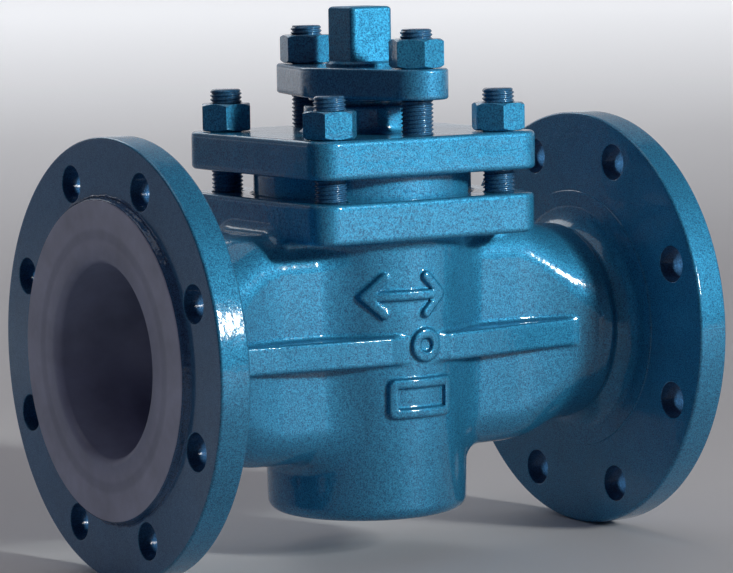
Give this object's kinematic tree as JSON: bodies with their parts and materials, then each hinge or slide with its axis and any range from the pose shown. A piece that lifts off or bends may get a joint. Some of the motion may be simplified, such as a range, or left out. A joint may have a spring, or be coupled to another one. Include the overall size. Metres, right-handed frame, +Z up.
{
  "type": "lined plug valve",
  "caption": "Flanged straight-through plug valve with a plastic lining, a bolted square cover, a bolted oval gland and a square stem end for a wrench.",
  "frame": {"origin": "where the flow axis crosses the stem axis", "axes": "+X along the flow, from the left flange to the right one, +Y to the back, +Z up along the stem"},
  "size_m": [0.3, 0.215, 0.2735],
  "materials": {
    "blue_paint": "glossy hammered metallic paint",
    "blue_paint_fasteners": "glossy metallic paint over threads",
    "blue_paint_gland": "glossy metallic paint",
    "lining_plastic": "moulded, satin",
    "seal_plastic": "satin",
    "packing_plastic": "matte",
    "bare_steel": "machined",
    "stem_steel": "painted where it stands out of the gland"
  },
  "bodies": {
    "valve_body": {"body_casting": "blue_paint", "body_lining": "lining_plastic", "cover": "blue_paint", "top_seal": "seal_plastic", "metal_diaphragm": "bare_steel", "thrust_ring": "bare_steel", "packing_spacer": "bare_steel", "packing_ring_1": "packing_plastic", "packing_ring_2": "packing_plastic", "packing_ring_3": "packing_plastic", "packing_ring_4": "packing_plastic", "cover_stud_left_front": "blue_paint_fasteners", "cover_stud_right_front": "blue_paint_fasteners", "cover_stud_right_back": "blue_paint_fasteners", "cover_stud_left_back": "blue_paint_fasteners", "cover_nut_left_front": "blue_paint_fasteners", "cover_nut_right_front": "blue_paint_fasteners", "cover_nut_right_back": "blue_paint_fasteners", "cover_nut_left_back": "blue_paint_fasteners", "gland_stud_front": "blue_paint_fasteners", "gland_stud_back": "blue_paint_fasteners"},
    "plug": {"plug_core": "stem_steel", "plug_lining": "seal_plastic"},
    "gland": {"gland_flange": "blue_paint_gland", "gland_bush": "bare_steel", "gland_nut_front": "blue_paint_gland", "gland_nut_back": "blue_paint_gland"}
  },
  "joints": [
    {"name": "plug_turn", "type": "hinge", "parent": "valve_body", "child": "plug", "pos_m": [0, 0, 0], "axis": [0, 0, 1], "range_deg": [0, 90]},
    {"name": "gland_slide", "type": "slide", "parent": "valve_body", "child": "gland", "axis": [0, 0, -1], "range_m": [0, 0.002], "deforming": ["packing_ring_1", "packing_ring_2", "packing_ring_3", "packing_ring_4"]}
  ]
}
